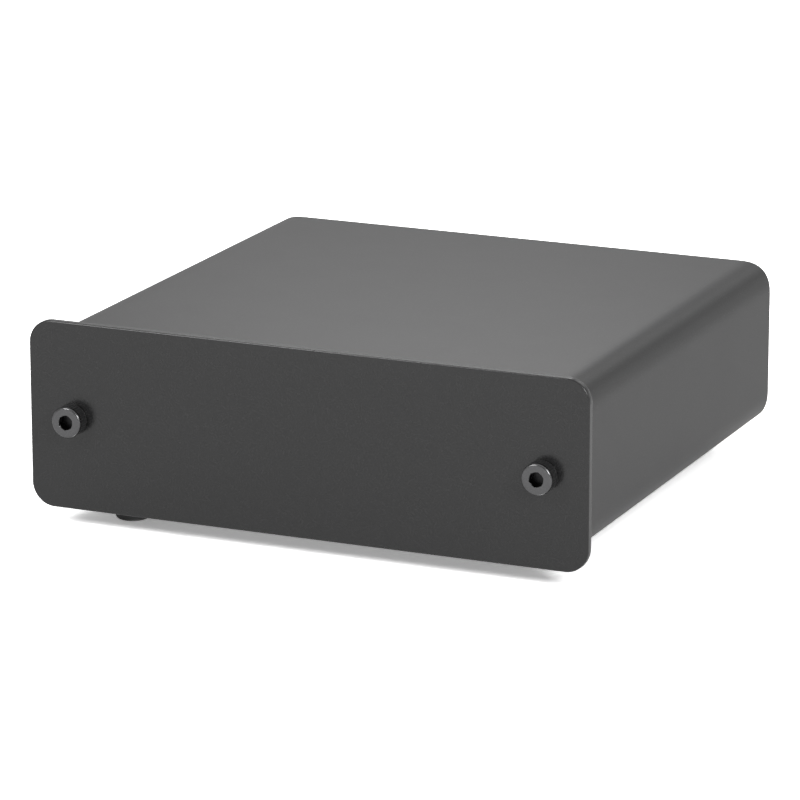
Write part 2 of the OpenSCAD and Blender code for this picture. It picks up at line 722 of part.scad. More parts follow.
module smoothing_capacitors() color([0.13, 0.15, 0.3])
    for (k = [0, 1], row = big_can_rows) on_board(lane(k), row)
        can_capacitor(big_can_r, big_can_h);

module coupling_capacitors() color([0.15, 0.15, 0.17])
    for (k = [2, 3], row = small_can_rows) on_board(lane(k), row)
        can_capacitor(small_can_r, small_can_h);

// Moulded film capacitors of the equaliser, upright on the board
module film_capacitors() color([0.7, 0.15, 0.12])
    for (k = [4, 6], row = film_rows) on_board(lane(k), row)
        block(0, 0, 0, film_w, film_d, film_h);

// An axial part along X: its body, and wires bent down to the board
module wired_part(body_r, body_l) {
    translate([-body_l / 2, 0, body_r]) rotate([0, 90, 0]) cylinder(r = body_r, h = body_l);
    translate([-wired_reach, 0, body_r]) rotate([0, 90, 0])
        cylinder(r = wired_r, h = 2 * wired_reach);
    for (side = [-1, 1]) translate([side * wired_reach, 0, 0]) {
        cylinder(r = wired_r, h = body_r);
        translate([0, 0, body_r]) sphere(wired_r);
    }
}

module resistors() color([0.3, 0.5, 0.65])
    for (k = [3 : 6], row = resistor_rows) on_board(lane(k), row)
        wired_part(resistor_r, resistor_l);

module diodes() color([0.1, 0.1, 0.1])
    for (k = [0, 1], row = diode_rows) on_board(lane(k), row) wired_part(diode_r, diode_l);

front_panel();
case_sleeve();
rear_panel();
front_screw(-1);  // front_screw_left
front_screw(1);  // front_screw_right
rear_screws();
front_left_foot();
front_right_foot();
rear_left_foot();
rear_right_foot();
circuit_board();
socket_shell(left_input_x);  // left_input_socket
socket_shell(right_input_x);  // right_input_socket
socket_shell(left_output_x);  // left_output_socket
socket_shell(right_output_x);  // right_output_socket
socket_insulators();
socket_contacts();
channel_rings([left_input_x, left_output_x], [0.92, 0.92, 0.9]);  // left_channel_rings
channel_rings([right_input_x, right_output_x], [0.75, 0.1, 0.1]);  // right_channel_rings
socket_housing(input_x);  // input_socket_housing
socket_housing(output_x);  // output_socket_housing
power_inlet_body();
power_inlet_pin();
power_inlet_spring();
ground_stud();
ground_lug();
ground_wire();
ground_hex_nut();
ground_washer();
ground_thumb_nut();
gain_switch(-1);  // left_gain_switch
gain_switch(1);  // right_gain_switch
gain_slider(-1);  // left_gain_slider
gain_slider(1);  // right_gain_slider
op_amps();
transistors();
voltage_regulators();
smoothing_capacitors();
coupling_capacitors();
film_capacitors();
resistors();
diodes();
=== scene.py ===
import math

import bmesh
import bpy
from mathutils import Matrix, Vector


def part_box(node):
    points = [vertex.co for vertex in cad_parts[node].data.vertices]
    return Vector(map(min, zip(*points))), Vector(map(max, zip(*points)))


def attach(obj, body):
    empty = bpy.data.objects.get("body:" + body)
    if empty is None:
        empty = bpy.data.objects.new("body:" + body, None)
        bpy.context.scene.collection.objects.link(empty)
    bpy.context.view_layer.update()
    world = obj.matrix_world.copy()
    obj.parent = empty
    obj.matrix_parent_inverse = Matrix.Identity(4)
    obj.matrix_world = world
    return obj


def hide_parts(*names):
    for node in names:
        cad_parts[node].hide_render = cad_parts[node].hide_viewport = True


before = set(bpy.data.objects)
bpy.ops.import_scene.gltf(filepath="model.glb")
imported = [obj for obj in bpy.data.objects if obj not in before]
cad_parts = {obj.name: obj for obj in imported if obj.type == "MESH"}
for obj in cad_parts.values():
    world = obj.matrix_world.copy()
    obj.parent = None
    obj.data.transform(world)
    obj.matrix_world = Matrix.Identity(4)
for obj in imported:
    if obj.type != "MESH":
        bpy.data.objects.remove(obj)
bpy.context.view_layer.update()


# ---- Camera ----
# A long lens, a little to the right of the box and above it, that takes in the front panel, the
# top and the right side.
MM = 0.001
LENS, SENSOR = 212.038, 36.0
LOOK_AT = Vector((0.0, -2.0, 21.6)) * MM
LOOK_TURN, LOOK_DOWN, LEAN = (math.radians(angle) for angle in (23.682, 15.378, -0.055))
LOOK_FROM, LOOK_LEFT, LOOK_LOW = 864.521 * MM, 3.165 * MM, 5.211 * MM
NEAR_CLIP, FAR_CLIP = 0.05, 50.0

backwards = Vector((math.sin(LOOK_TURN) * math.cos(LOOK_DOWN),
                    -math.cos(LOOK_TURN) * math.cos(LOOK_DOWN), math.sin(LOOK_DOWN)))
level = Vector((math.cos(LOOK_TURN), math.sin(LOOK_TURN), 0.0))
lean = Matrix.Rotation(LEAN, 3, backwards)
rightwards, upwards = lean @ level, lean @ backwards.cross(level)
camera = bpy.data.objects.new("camera", bpy.data.cameras.new("camera"))
camera.data.lens, camera.data.sensor_width = LENS, SENSOR
camera.data.clip_start, camera.data.clip_end = NEAR_CLIP, FAR_CLIP
stand = LOOK_AT + LOOK_FROM * backwards - LOOK_LEFT * rightwards - LOOK_LOW * upwards
axes = Matrix((rightwards, upwards, backwards)).transposed()
camera.matrix_world = Matrix.Translation(stand) @ axes.to_4x4()
bpy.context.scene.collection.objects.link(camera)
bpy.context.scene.camera = camera


# ---- Case sleeve ----
# One length of extruded aluminium with large bends at its four long edges, sawn to length and
# deburred, with a satin black coat. Round ports for the screws and guides for the board run inside.
WALL = 1.5
BEND, BEND_REACH, BEND_FULLNESS, BEND_STEPS = 4.8, 6.3, 2.65, 24
SLEEVE_EDGE = 0.2
PORT_R, PORT_BORE_R, PORT_WEB = 3.0, 1.52, 1.4
GUIDE_IN, GUIDE_T, GUIDE_CLEARANCE = 1.6, 1.0, 0.2
SLOT_W, SLOT_D, SLOT_R = 4.5, 2.1, 0.3
ARC_STEP = math.radians(5)
RING_STEPS, EDGE_STEPS = 64, 2
SMOOTH_UNDER = math.radians(32)
JOIN_WITHIN = 0.001
CUT_PAST = 1.0
COAT_COLOUR = (0.013, 0.013, 0.0132)
GRAIN_DETAIL, GRAIN_STOPS = 3.0, (0.3, 0.64, 0.76)
CLOUD_SIZE, CLOUD_DETAIL, CLOUD_LOW, CLOUD_HIGH = 9.0, 2.0, 0.3, 0.7


def in_mm(node):
    """Lowest and highest corner of a node, in millimetres."""
    low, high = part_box(node)
    return low / MM, high / MM


def middle_of(node):
    """Centre of a node's box, in millimetres."""
    low, high = in_mm(node)
    return (low + high) / 2


def eased(corners, closed=True):
    """Outline through (x, y, radius) corners, each one rounded by its own radius."""
    points = []
    for k, (x, y, radius) in enumerate(corners):
        here = Vector((x, y))
        if not radius or (not closed and k in (0, len(corners) - 1)):
            points.append(here)
            continue
        back = (Vector(corners[k - 1][:2]) - here).normalized()
        ahead = (Vector(corners[(k + 1) % len(corners)][:2]) - here).normalized()
        half = back.angle(ahead) / 2
        centre = here + (back + ahead).normalized() * radius / math.sin(half)
        start = here + back * radius / math.tan(half) - centre
        end = here + ahead * radius / math.tan(half) - centre
        sweep = math.copysign(math.pi - 2 * half, start.cross(end))
        steps = max(2, math.ceil(abs(sweep) / ARC_STEP))
        for step in range(steps + 1):
            points.append(centre + Matrix.Rotation(sweep * step / steps, 2) @ start)
    return points


def oblong(x, z, width, height, radius=0.0):
    """Outline of a rectangle about (x, z), with rounded corners."""
    signs = ((-1, -1), (1, -1), (1, 1), (-1, 1))
    return eased([(x + a * width / 2, z + b * height / 2, radius) for a, b in signs])


def gently_bent(x, z, width, height):
    """Outline of a rectangle about (x, z), with corners that begin and end their bend softly."""
    points = []
    for a, b in ((-1, -1), (1, -1), (1, 1), (-1, 1)):
        for k in range(BEND_STEPS + 1):
            turn = math.pi / 2 * (k if a == b else BEND_STEPS - k) / BEND_STEPS
            across = abs(math.cos(turn)) ** (2 / BEND_FULLNESS)
            upward = abs(math.sin(turn)) ** (2 / BEND_FULLNESS)
            points.append(Vector((x + a * (width / 2 - BEND_REACH * (1 - across)),
                                  z + b * (height / 2 - BEND_REACH * (1 - upward)))))
    return points


def ring(x, z, radius):
    """Outline of a circle about (x, z)."""
    angles = [math.tau * k / RING_STEPS for k in range(RING_STEPS)]
    return [Vector((x + radius * math.cos(a), z + radius * math.sin(a))) for a in angles]


def solid_of(blank):
    """The final shape of a curve or of an object with modifiers, as a bmesh."""
    bpy.context.view_layer.update()
    mesh = bpy.data.meshes.new_from_object(
        blank.evaluated_get(bpy.context.evaluated_depsgraph_get()))
    solid = bmesh.new()
    solid.from_mesh(mesh)
    bpy.data.meshes.remove(mesh)
    return solid


def drawn(outlines, front, rear, edge=0.0):
    """A bar drawn out along Y from front to rear. The outlines, in X and Z, are its rim and its
    holes, and edge is the radius that rounds its ends."""
    curve = bpy.data.curves.new("drawing", "CURVE")
    curve.dimensions, curve.fill_mode = "2D", "BOTH"
    curve.extrude = (rear - front) / 2 - edge
    curve.bevel_depth, curve.bevel_resolution, curve.offset = edge, EDGE_STEPS, -edge
    for outline in outlines:
        spline = curve.splines.new("POLY")
        spline.points.add(len(outline) - 1)
        spline.use_cyclic_u = True
        for point, (x, z) in zip(spline.points, outline):
            point.co = (x, z, 0.0, 1.0)
    blank = bpy.data.objects.new("drawing", curve)
    bpy.context.scene.collection.objects.link(blank)
    solid = solid_of(blank)
    bpy.data.objects.remove(blank)
    bpy.data.curves.remove(curve)
    bmesh.ops.remove_doubles(solid, verts=solid.verts, dist=JOIN_WITHIN)
    bmesh.ops.transform(solid, verts=solid.verts,
                        matrix=Matrix.Translation((0, (front + rear) / 2, 0))
                        @ Matrix.Rotation(math.radians(90), 4, "X"))
    bmesh.ops.recalc_face_normals(solid, faces=solid.faces)
    return solid


def worked(solid, tool, work="DIFFERENCE"):
    """A solid after a tool's cut, or after it is joined or trimmed with one. Both are used up."""
    blanks = []
    for shape in (solid, tool):
        mesh = bpy.data.meshes.new("blank")
        shape.to_mesh(mesh)
        shape.free()
        blanks.append(bpy.data.objects.new("blank", mesh))
        bpy.context.scene.collection.objects.link(blanks[-1])
    cut = blanks[0].modifiers.new("cut", "BOOLEAN")
    cut.object, cut.operation, cut.solver = blanks[1], work, "EXACT"
    result = solid_of(blanks[0])
    for blank in blanks:
        bpy.data.meshes.remove(blank.data)
    return result


def made(name, solid, finish, slot, *nodes, body="main_case"):
    """A finished piece, in metres, on its body, in place of its CAD nodes."""
    mesh = bpy.data.meshes.new(name)
    bmesh.ops.scale(solid, verts=solid.verts, vec=(MM, MM, MM))
    solid.to_mesh(mesh)
    solid.free()
    mesh.shade_smooth()
    mesh.set_sharp_from_angle(angle=SMOOTH_UNDER)
    mesh.materials.append(finish)
    piece = bpy.data.objects.new(name, mesh)
    bpy.context.scene.collection.objects.link(piece)
    flats = piece.modifiers.new("flats", "WEIGHTED_NORMAL")
    flats.keep_sharp = True
    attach(piece, body)
    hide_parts(*nodes)
    return piece


def grained(name, colour, roughness, grain, relief, shade=0.12, gloss=0.02, metallic=0.0,
            spark=1.0):
    """A finish whose shade and relief follow a fine grain, its size in millimetres and its relief
    in micrometres, with broad clouds of slightly other gloss. The highest grains are lighter by
    the factor spark."""
    finish = bpy.data.materials.new(name)
    finish.use_nodes = True
    nodes, links = finish.node_tree.nodes, finish.node_tree.links
    shader = nodes["Principled BSDF"]
    shader.inputs["Metallic"].default_value = metallic
    place = nodes.new("ShaderNodeTexCoord")
    fine = nodes.new("ShaderNodeTexNoise")
    fine.inputs["Scale"].default_value = 1 / (grain * MM)
    fine.inputs["Detail"].default_value = GRAIN_DETAIL
    clouds = nodes.new("ShaderNodeTexNoise")
    clouds.inputs["Scale"].default_value = 1 / (CLOUD_SIZE * MM)
    clouds.inputs["Detail"].default_value = CLOUD_DETAIL
    for noise in (fine, clouds):
        links.new(place.outputs["Object"], noise.inputs["Vector"])
    tone = nodes.new("ShaderNodeValToRGB")
    tone.color_ramp.elements.new(0.5)
    factors = (1 - shade, 1 + shade, (1 + shade) * spark)
    for stop, position, factor in zip(tone.color_ramp.elements, GRAIN_STOPS, factors):
        stop.position = position
        stop.color = (*(min(1.0, part * factor) for part in colour), 1.0)
    links.new(fine.outputs["Fac"], tone.inputs["Fac"])
    links.new(tone.outputs["Color"], shader.inputs["Base Color"])
    sheen = nodes.new("ShaderNodeMapRange")
    sheen.inputs["From Min"].default_value = CLOUD_LOW
    sheen.inputs["From Max"].default_value = CLOUD_HIGH
    sheen.inputs["To Min"].default_value = roughness - gloss
    sheen.inputs["To Max"].default_value = roughness + gloss
    links.new(clouds.outputs["Fac"], sheen.inputs["Value"])
    links.new(sheen.outputs["Result"], shader.inputs["Roughness"])
    bump = nodes.new("ShaderNodeBump")
    bump.inputs["Strength"].default_value = 1.0
    bump.inputs["Distance"].default_value = relief * MM * MM
    links.new(fine.outputs["Fac"], bump.inputs["Height"])
    links.new(bump.outputs["Normal"], shader.inputs["Normal"])
    return finish


case_low, case_high = in_mm("case_sleeve")
case_mid = (case_low + case_high) / 2
port_x, port_z = middle_of("front_screw_right").x, middle_of("front_screw_right").z
board_low, board_high = in_mm("circuit_board")
panel_seat = in_mm("rear_panel")[0].y
inner_x = case_high.x - WALL
case_coat = grained("case_coat", COAT_COLOUR, roughness=0.43, grain=0.3, relief=3.0, shade=0.25,
                    gloss=0.004, spark=2.5)

case_h = case_high.z - case_low.z
sleeve = drawn([gently_bent(0, case_mid.z, 2 * case_high.x, case_h),
                oblong(0, case_mid.z, 2 * inner_x, case_h - 2 * WALL, BEND - WALL)],
               case_low.y, case_high.y, SLEEVE_EDGE)
rib_start, rib_root = case_low.y + SLEEVE_EDGE, inner_x + WALL / 2
for side in (-1, 1):
    port = drawn([ring(side * port_x, port_z, PORT_R)], rib_start, panel_seat)
    web = drawn([oblong(side * (port_x + rib_root) / 2, port_z, rib_root - port_x, PORT_WEB)],
                rib_start, panel_seat)
    port = worked(port, web, "UNION")
    sleeve = worked(sleeve, port, "UNION")
    for z in (board_low.z - GUIDE_T / 2, board_high.z + GUIDE_CLEARANCE + GUIDE_T / 2):
        guide_x = side * (rib_root + inner_x - GUIDE_IN) / 2
        guide = drawn([oblong(guide_x, z, rib_root - inner_x + GUIDE_IN, GUIDE_T)],
                      rib_start, panel_seat)
        sleeve = worked(sleeve, guide, "UNION")
    bore = drawn([ring(side * port_x, port_z, PORT_BORE_R)],
                 case_low.y - CUT_PAST, panel_seat + CUT_PAST)
    sleeve = worked(sleeve, bore)
for node in ("left_gain_switch", "right_gain_switch"):
    switch = middle_of(node)
    slot = drawn([oblong(switch.x, -switch.y, SLOT_W, SLOT_D, SLOT_R)],
                 case_low.z - WALL, case_low.z + 2 * WALL)
    bmesh.ops.rotate(slot, verts=slot.verts, matrix=Matrix.Rotation(math.radians(90), 3, "X"))
    sleeve = worked(sleeve, slot)
made("extruded_sleeve", sleeve, case_coat, "case_coating", "case_sleeve")


# ---- Front panel ----
# A flat aluminium plate, a little larger all round than the sleeve, with rounded corners and a
# broken edge. It is blasted and anodised black, so its face is an even satin.
PANEL_CORNER = 4.3
PANEL_EDGE = 0.22
SCREW_HOLE_R = 1.65
ANODISED_COLOUR = (0.011, 0.011, 0.0112)

panel_low, panel_high = in_mm("front_panel")
anodised = grained("anodised_black", ANODISED_COLOUR, roughness=0.25, grain=0.22, relief=2.5,
                   shade=0.25, gloss=0.01, spark=2.0)
panel_outlines = [oblong(0, (panel_low.z + panel_high.z) / 2, 2 * panel_high.x,
                         panel_high.z - panel_low.z, PANEL_CORNER)]
panel_outlines += [ring(side * port_x, port_z, SCREW_HOLE_R) for side in (-1, 1)]
made("front_plate", drawn(panel_outlines, panel_low.y, panel_high.y, PANEL_EDGE), anodised,
     "panel_anodised", "front_panel")


# ---- Front screws ----
# Two socket cap screws of black steel, turned with a rounded rim, with a rolled knurl around the
# head and a hexagon in it whose inside has a painted shade. They go through the panel into the
# ports of the sleeve.
HEAD_H, HEAD_ROUND, HEAD_ROOT_ROUND = 3.0, 0.45, 0.15
KNURLS, KNURL_DEPTH = 36, 0.08
KNURL_START, KNURL_END = 0.3, 2.35
HEXAGON, HEXAGON_DEEP = 2.5, 1.6
MOUTH_WITHIN, MOUTH_TIP_R = 0.1, 0.01
SHANK_R, SHANK_ROUND = 1.5, 0.3
# The recess colour is a painted shade: a darker steel for the inside of hexagons and bores.
SCREW_COLOUR, RECESS_SHADE_COLOUR = (0.105, 0.105, 0.107), (0.022, 0.022, 0.0225)
RECESS_FROM = 0.01
ON_AXIS, SAME_RADIUS, ROUND_STEPS = 1e-6, 0.01, 96
# Each screw's node, its side and the turn of its hexagon in degrees.
SCREWS = (("front_screw_left", -1, 22), ("front_screw_right", 1, 16))

screw_low, screw_high = in_mm("front_screw_left")
head_r = (screw_high.x - screw_low.x) / 2


def along_y(x, z, y=0.0):
    """Stands a turned part along Y, its own Z to the rear."""
    return Matrix.Translation((x, y, z)) @ Matrix.Rotation(math.radians(-90), 4, "X")


def turned(profile, stand, steps=ROUND_STEPS, shape=None):
    """A part turned from (radius, height) points. A profile that doesn't start on the axis closes
    on itself. shape changes a radius by its turn and height, for a knurl or a thread."""
    solid = bmesh.new()
    rows = []
    for radius, height in profile:
        if radius < ON_AXIS:
            rows.append([solid.verts.new((0.0, 0.0, height))])
            continue
        row = []
        for k in range(steps):
            turn = math.tau * k / steps
            r = shape(radius, turn, height) if shape else radius
            row.append(solid.verts.new((r * math.cos(turn), r * math.sin(turn), height)))
        rows.append(row)
    if len(rows[0]) > 1:
        rows.append(rows[0])
    for lower, upper in zip(rows, rows[1:]):
        for k in range(steps):
            corners = [lower[k % len(lower)], lower[(k + 1) % len(lower)],
                       upper[(k + 1) % len(upper)], upper[k % len(upper)]]
            solid.faces.new(list(dict.fromkeys(corners)))
    bmesh.ops.transform(solid, verts=solid.verts, matrix=stand)
    bmesh.ops.recalc_face_normals(solid, faces=solid.faces)
    return solid


def filled_in(profile, step=0.15):
    """A profile with further points along its long straight runs, for shapes that vary there."""
    points = []
    for start, end in zip(profile, profile[1:]):
        start, end = Vector(start), Vector(end)
        count = max(1, round((end - start).length / step))
        points += [start.lerp(end, k / count) for k in range(count)]
    return points + [Vector(profile[-1])]


def corner_r(flats):
    """Radius of a hexagon's corners, from its width across the flats."""
    return flats / 2 / math.cos(math.radians(30))


def hexagon_tool(x, z, flats, front, rear, turn=0):
    """A hexagonal broach along Y, turned by some degrees from one with a corner at its right."""
    radius = corner_r(flats)
    angles = [math.radians(60 * k + turn) for k in range(6)]
    outline = [Vector((x + radius * math.cos(a), z + radius * math.sin(a))) for a in angles]
    return drawn([outline], front, rear)


def cone_tool(x, z, wide_r, wide_y, narrow_r, narrow_y):
    """A countersink along Y."""
    return turned([(0, wide_y), (wide_r, wide_y), (narrow_r, narrow_y), (0, narrow_y)],
                  along_y(x, z))


def knurled(radius, turn, height):
    """Straight knurls around the side of a screw's head."""
    if radius < head_r - SAME_RADIUS or not KNURL_START < height < KNURL_END:
        return radius
    return radius - KNURL_DEPTH * (0.5 + 0.5 * math.cos(KNURLS * turn))


def partly(piece, finish, chosen):
    """The faces whose middle, in millimetres, is a chosen one get a finish of their own."""
    piece.data.materials.append(finish)
    for face in piece.data.polygons:
        if chosen(face.center / MM):
            face.material_index = len(piece.data.materials) - 1


def painted_shade_inside(piece, mouths, radius, deep):
    """The faces inside round mouths along Y get a painted shade, a darker steel, deep millimetres
    inward.
    """
    def inside(spot):
        return any(0 < (spot.y - mouth.y) / deep < 1
                   and math.hypot(spot.x - mouth.x, spot.z - mouth.z) < radius for mouth in mouths)

    partly(piece, recess_shade, inside)


blackened = grained("blackened_steel", SCREW_COLOUR, roughness=0.25, grain=0.12, relief=1.0,
                    metallic=1.0)
# Painted shade: the darker steel that stands for shade inside hexagons and contact bores.
recess_shade = grained("painted_recess_shade", RECESS_SHADE_COLOUR, roughness=0.35, grain=0.12, relief=1.0, metallic=1.0)
rolled = grained("rolled_knurl", SCREW_COLOUR, roughness=0.5, grain=0.12, relief=1.0, metallic=1.0)
screw_len = screw_high.y - panel_low.y
mouth_r = corner_r(HEXAGON) - MOUTH_WITHIN
head_profile = eased([(0, -screw_len, 0), (SHANK_R, -screw_len, SHANK_ROUND), (SHANK_R, 0, 0),
                      (head_r, 0, HEAD_ROOT_ROUND), (head_r, HEAD_H, HEAD_ROUND),
                      (0, HEAD_H, 0)], closed=False)


def on_knurl(spot):
    """True for a place on the knurled side of a front screw's head."""
    return (KNURL_START < panel_low.y - spot.y < KNURL_END
            and math.hypot(abs(spot.x) - port_x, spot.z - port_z) > head_r - 2 * KNURL_DEPTH)


for node, side, hexagon_turn in SCREWS:
    screw_x = side * port_x
    head_stand = Matrix.Translation((screw_x, panel_low.y, port_z)) @ Matrix.Rotation(
        math.radians(90), 4, "X")
    screw = turned(filled_in(head_profile), head_stand, steps=4 * KNURLS, shape=knurled)
    screw = worked(screw, hexagon_tool(screw_x, port_z, HEXAGON, screw_low.y - CUT_PAST,
                                       screw_low.y + HEXAGON_DEEP, hexagon_turn))
    screw = worked(screw, cone_tool(screw_x, port_z, mouth_r + CUT_PAST, screw_low.y - CUT_PAST,
                                    MOUTH_TIP_R, screw_low.y + mouth_r))
    piece = made(node.replace("front_screw", "socket_cap_screw"), screw, blackened, "screw_black",
                 node)
    # Painted shade inside the hexagon.
    painted_shade_inside(piece, [Vector((screw_x, screw_low.y + RECESS_FROM, port_z))], corner_r(HEXAGON),
             HEXAGON_DEEP)
    partly(piece, rolled, on_knurl)


# ---- Rear panel ----
# The rear plate lies inside the end of the sleeve, flush with it. Its holes let the sockets, the
# power inlet and the ground stud through, and two screws hold it.
REAR_CORNER = 3.15
REAR_EDGE = 0.15
SOCKETS = ("left_input_socket", "right_input_socket", "left_output_socket", "right_output_socket")
SOCKET_HOLE_R, INLET_HOLE_R, STUD_HOLE_R = 4.65, 3.75, 2.15

rear_low, rear_high = in_mm("rear_panel")
socket_z = middle_of("left_input_socket").z
socket_xs = [middle_of(node).x for node in SOCKETS]
inlet_x, inlet_z = middle_of("power_inlet_pin").x, middle_of("power_inlet_pin").z
ground_x = middle_of("ground_stud").x
rear_outlines = [oblong(0, case_mid.z, 2 * rear_high.x, rear_high.z - rear_low.z, REAR_CORNER)]
rear_outlines += [ring(side * port_x, port_z, SCREW_HOLE_R) for side in (-1, 1)]
rear_outlines += [ring(x, socket_z, SOCKET_HOLE_R) for x in socket_xs]
rear_outlines += [ring(inlet_x, inlet_z, INLET_HOLE_R), ring(ground_x, socket_z, STUD_HOLE_R)]
made("rear_plate", drawn(rear_outlines, rear_low.y, rear_high.y, REAR_EDGE), anodised,
     "panel_anodised", "rear_panel")


# ---- Rear screws ----
# Two low button-head screws of black steel, which hold the rear panel to the same ports as the
# front one. Their hexagons get the painted shade inside too.
DOME_R, DOME_STEPS = 3.85, 12
REAR_HEAD_R, REAR_HEAD_EDGE = 2.75, 0.1
REAR_HEXAGON, REAR_HEXAGON_DEEP, REAR_RECESS_FROM = 2.0, 0.9, 0.2
REAR_SHANK = 8.0


def together(solids):
    """Several solids as one."""
    whole = bmesh.new()
    for solid in solids:
        mesh = bpy.data.meshes.new("part")
        solid.to_mesh(mesh)
        solid.free()
        whole.from_mesh(mesh)
        bpy.data.meshes.remove(mesh)
    return whole


rear_head_end = in_mm("rear_screws")[1].y
rear_head_h = rear_head_end - rear_high.y
dome_span = math.asin(REAR_HEAD_R / DOME_R)
dome_angles = [dome_span * (1 - k / DOME_STEPS) for k in range(DOME_STEPS + 1)]
rear_profile = [(0, -REAR_SHANK), (SHANK_R, -REAR_SHANK), (SHANK_R, 0),
                (REAR_HEAD_R - REAR_HEAD_EDGE, 0), (REAR_HEAD_R, REAR_HEAD_EDGE)]
rear_profile += [(DOME_R * math.sin(angle), rear_head_h - DOME_R * (1 - math.cos(angle)))
                 for angle in dome_angles]
rear_screws = []
for side in (-1, 1):
    screw = turned(rear_profile, along_y(side * port_x, port_z, rear_high.y))
    rear_screws.append(worked(screw, hexagon_tool(
        side * port_x, port_z, REAR_HEXAGON, rear_head_end - REAR_HEXAGON_DEEP,
        rear_head_end + CUT_PAST)))
piece = made("button_head_screws", together(rear_screws), blackened, "screw_black", "rear_screws")
# Painted shade inside the hexagons.
painted_shade_inside(piece, [Vector((side * port_x, rear_head_end - REAR_RECESS_FROM, port_z))
                 for side in (-1, 1)], corner_r(REAR_HEXAGON), -REAR_HEXAGON_DEEP)


# ---- Feet ----
# Four moulded rubber feet, cones with a rounded lower edge and a small dimple below, each stuck
# to the underside of the sleeve.
FOOT_EDGE, FOOT_RIM = 0.7, 0.25
DIMPLE_R, DIMPLE_DEEP, DIMPLE_FLARE = 1.6, 0.4, 0.2
DIMPLE_ROUND, DIMPLE_LIP = 0.2, 0.15
FOOT_FLOOR_R, FOOT_STEPS = 3.0, 72
RUBBER_COLOUR = (0.016, 0.016, 0.016)

rubber = grained("foot_rubber", RUBBER_COLOUR, roughness=0.62, grain=0.12, relief=8.0, shade=0.2)
for node in ("front_left_foot", "front_right_foot", "rear_left_foot", "rear_right_foot"):
    low, high = in_mm(node)
    profile = eased([(0, low.z + DIMPLE_DEEP, 0), (DIMPLE_R, low.z + DIMPLE_DEEP, DIMPLE_ROUND),
                     (DIMPLE_R + DIMPLE_FLARE, low.z, DIMPLE_LIP),
                     (FOOT_FLOOR_R, low.z, FOOT_EDGE),
                     ((high.x - low.x) / 2, high.z, FOOT_RIM), (0, high.z, 0)], closed=False)
    centre = (low + high) / 2
    foot = turned(profile, Matrix.Translation((centre.x, centre.y, 0)), steps=FOOT_STEPS)
    made(node.replace("foot", "rubber_foot"), foot, rubber, "foot_rubber", node)


# ---- Phono sockets ----
# Each socket is a turned and plated brass shell with a thicker root, a white insulator pressed
# into it and a slotted spring contact in the middle. A coloured ring marks its channel.
SHELL_R, SHELL_ROOT_R, SHELL_BORE_R = 4.15, 4.6, 3.55
SHELL_LIP, ROOT_EDGE, ROOT_FILLET = 0.25, 0.15, 0.1
INSULATOR_R, INSULATOR_EDGE = 3.52, 0.2
INSULATOR_BORE_R, INSULATOR_BORE_EDGE = 1.98, 0.12
CONTACT_RECESS = 1.5
CONTACT_R, CONTACT_EDGE, CONTACT_LIP = 1.95, 0.1, 0.12
CONTACT_BORE_R, CONTACT_FLOOR, CONTACT_BRIGHT, BORE_MARGIN = 1.6, 0.4, 0.5, 0.02
SLIT_W, SLIT_DEEP, SLIT_TURNS = 0.3, 7.0, (45, 135)
RING_T, MARK_R, MARK_EDGE, MARK_BORE_EDGE = 1.0, 5.9, 0.3, 0.15
BRASS_COLOUR = (0.83, 0.62, 0.3)
INSULATOR_COLOUR = (0.8, 0.79, 0.75)
WHITE_COLOUR, RED_COLOUR = (0.8, 0.8, 0.78), (0.42, 0.015, 0.012)

brass = grained("plated_brass", BRASS_COLOUR, roughness=0.2, grain=0.35, relief=0.6,
                shade=0.04, metallic=1.0)
insulation = grained("pressed_insulator", INSULATOR_COLOUR, roughness=0.42, grain=0.3, relief=2.0,
                     shade=0.03)
shell_start, shell_end = (corner.y for corner in in_mm("left_input_socket"))
root_end = rear_high.y + RING_T
for node, x in zip(SOCKETS, socket_xs):
    profile = eased([(SHELL_BORE_R, shell_start, ROOT_EDGE), (SHELL_ROOT_R, shell_start, ROOT_EDGE),
                     (SHELL_ROOT_R, root_end, ROOT_EDGE), (SHELL_R, root_end, ROOT_FILLET),
                     (SHELL_R, shell_end, SHELL_LIP), (SHELL_BORE_R, shell_end, SHELL_LIP)])
    made(node.replace("socket", "shell"), turned(profile, along_y(x, socket_z)), brass,
         "plated_brass", node)

insulator_low, insulator_high = in_mm("socket_insulators")
recess_floor = insulator_low.y + CONTACT_RECESS
insulator_profile = eased([(0, insulator_low.y, 0), (INSULATOR_R, insulator_low.y, INSULATOR_EDGE),
                           (INSULATOR_R, insulator_high.y, INSULATOR_EDGE),
                           (INSULATOR_BORE_R, insulator_high.y, INSULATOR_BORE_EDGE),
                           (INSULATOR_BORE_R, recess_floor, 0), (0, recess_floor, 0)],
                          closed=False)
insulators = [turned(insulator_profile, along_y(x, socket_z)) for x in socket_xs]
made("insulator_cores", together(insulators), insulation, "insulator_white", "socket_insulators")

contact_low, contact_high = in_mm("socket_contacts")
contact_floor = contact_low.y + CONTACT_FLOOR
contact_profile = eased([(0, contact_low.y, 0), (CONTACT_R, contact_low.y, CONTACT_EDGE),
                         (CONTACT_R, contact_high.y, CONTACT_LIP),
                         (CONTACT_BORE_R, contact_high.y, CONTACT_LIP),
                         (CONTACT_BORE_R, contact_floor, 0), (0, contact_floor, 0)], closed=False)
contacts = []
for x in socket_xs:
    contact = turned(contact_profile, along_y(x, socket_z))
    for turn in SLIT_TURNS:
        slit = drawn([oblong(0, 0, SLIT_W, 2 * (CONTACT_R + CUT_PAST))],
                     contact_high.y - SLIT_DEEP, contact_high.y + CUT_PAST)
        bmesh.ops.transform(slit, verts=slit.verts, matrix=Matrix.Translation((x, 0, socket_z))
                            @ Matrix.Rotation(math.radians(turn), 4, "Y"))
        contact = worked(contact, slit)
    contacts.append(contact)
